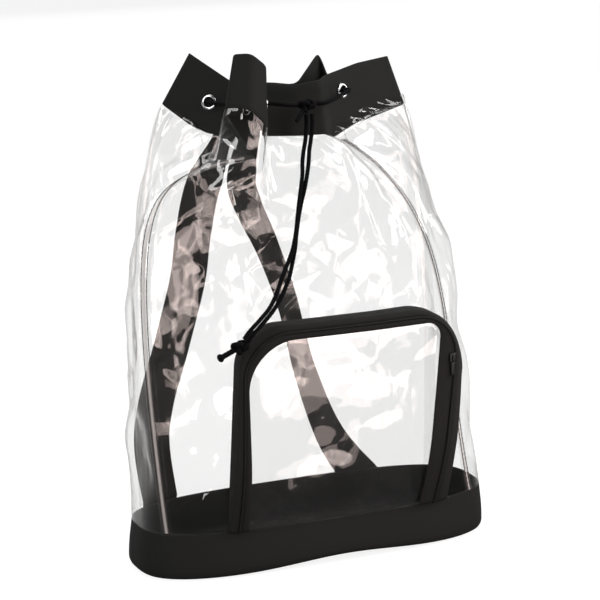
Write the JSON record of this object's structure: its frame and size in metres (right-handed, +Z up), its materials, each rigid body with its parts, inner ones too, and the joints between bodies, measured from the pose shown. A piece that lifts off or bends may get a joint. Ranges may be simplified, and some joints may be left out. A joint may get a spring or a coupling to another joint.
{
  "type": "clear drawstring backpack",
  "caption": "Clear film backpack on a black tub base, with a black gathered collar, chrome eyelets, a braided drawcord, a zipped front pocket and webbing shoulder straps",
  "frame": {"origin": "centre of the tub's flat underside", "axes": "+Z up, -Y towards the pocket side, +X to the right seen from the pocket side"},
  "size_m": [0.3409, 0.1881, 0.4477],
  "materials": {
    "black_vinyl": "matte black coated sheet",
    "clear_film": "glossy clear film",
    "eyelet_metal": "bright plated",
    "braided_cord": "black braid",
    "zip_tape": "black woven tape",
    "slider_metal": "black painted",
    "webbing": "black woven webbing"
  },
  "bodies": {
    "root": {"base": "black_vinyl", "film_front": "clear_film", "film_right": "clear_film", "film_back": "clear_film", "film_left": "clear_film", "collar": "black_vinyl", "eyelet_right": "eyelet_metal", "eyelet_back_right": "eyelet_metal", "eyelet_back_left": "eyelet_metal", "eyelet_left": "eyelet_metal", "eyelet_pleat_left": "eyelet_metal", "eyelet_pleat_right": "eyelet_metal", "drawcord": "braided_cord", "collar_knot": "braided_cord", "strand_left": "braided_cord", "strand_right": "braided_cord", "end_knot": "braided_cord", "cord_tail": "braided_cord", "tail_end": "braided_cord", "pocket_band": "zip_tape", "pocket_film": "clear_film", "zip_slider": "slider_metal", "strap_left": "webbing", "strap_right": "webbing"}
  },
  "joints": []
}
